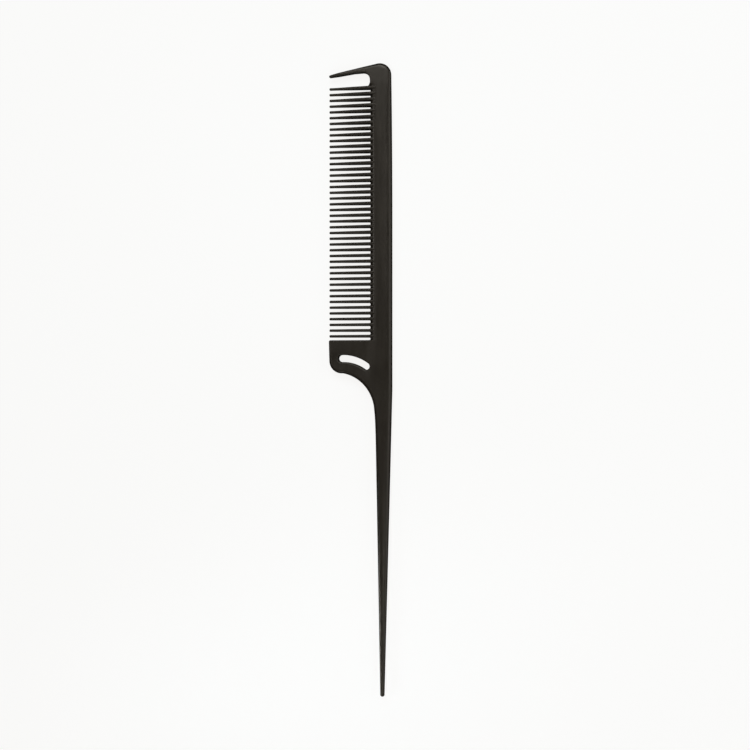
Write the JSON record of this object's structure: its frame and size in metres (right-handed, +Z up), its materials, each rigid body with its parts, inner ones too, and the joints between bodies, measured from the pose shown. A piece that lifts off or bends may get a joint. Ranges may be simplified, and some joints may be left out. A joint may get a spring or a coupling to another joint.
{
  "type": "rat tail comb",
  "caption": "Flat tail comb with fine teeth, a wide guard tooth beside a parting gap, a heel with a curved hang slot and a long tapering tail for parting hair.",
  "frame": {"origin": "centre of the comb's bounding box, on the flat underside that it lies on", "axes": "+Y along the comb from the tail's point to the head end, +X from the tips of the teeth to the back of the spine, +Z up out of the face"},
  "size_m": [0.0234, 0.23, 0.0038],
  "materials": {
    "carbon_resin": "satin black carbon-filled resin, moulded with a very fine grain"
  },
  "bodies": {
    "root": {"spine": "carbon_resin", "head_end": "carbon_resin", "guard_tooth": "carbon_resin", "tooth_01": "carbon_resin", "tooth_02": "carbon_resin", "tooth_03": "carbon_resin", "tooth_04": "carbon_resin", "tooth_05": "carbon_resin", "tooth_06": "carbon_resin", "tooth_07": "carbon_resin", "tooth_08": "carbon_resin", "tooth_09": "carbon_resin", "tooth_10": "carbon_resin", "tooth_11": "carbon_resin", "tooth_12": "carbon_resin", "tooth_13": "carbon_resin", "tooth_14": "carbon_resin", "tooth_15": "carbon_resin", "tooth_16": "carbon_resin", "tooth_17": "carbon_resin", "tooth_18": "carbon_resin", "tooth_19": "carbon_resin", "tooth_20": "carbon_resin", "tooth_21": "carbon_resin", "tooth_22": "carbon_resin", "tooth_23": "carbon_resin", "tooth_24": "carbon_resin", "tooth_25": "carbon_resin", "tooth_26": "carbon_resin", "tooth_27": "carbon_resin", "tooth_28": "carbon_resin", "tooth_29": "carbon_resin", "tooth_30": "carbon_resin", "tooth_31": "carbon_resin", "tooth_32": "carbon_resin", "tooth_33": "carbon_resin", "tooth_34": "carbon_resin", "tooth_35": "carbon_resin", "tooth_36": "carbon_resin", "tooth_37": "carbon_resin", "tooth_38": "carbon_resin", "tooth_39": "carbon_resin", "tooth_40": "carbon_resin", "tooth_41": "carbon_resin", "tooth_42": "carbon_resin", "tooth_43": "carbon_resin", "tooth_44": "carbon_resin", "heel": "carbon_resin", "neck": "carbon_resin", "tail": "carbon_resin", "tail_point": "carbon_resin"}
  },
  "joints": []
}
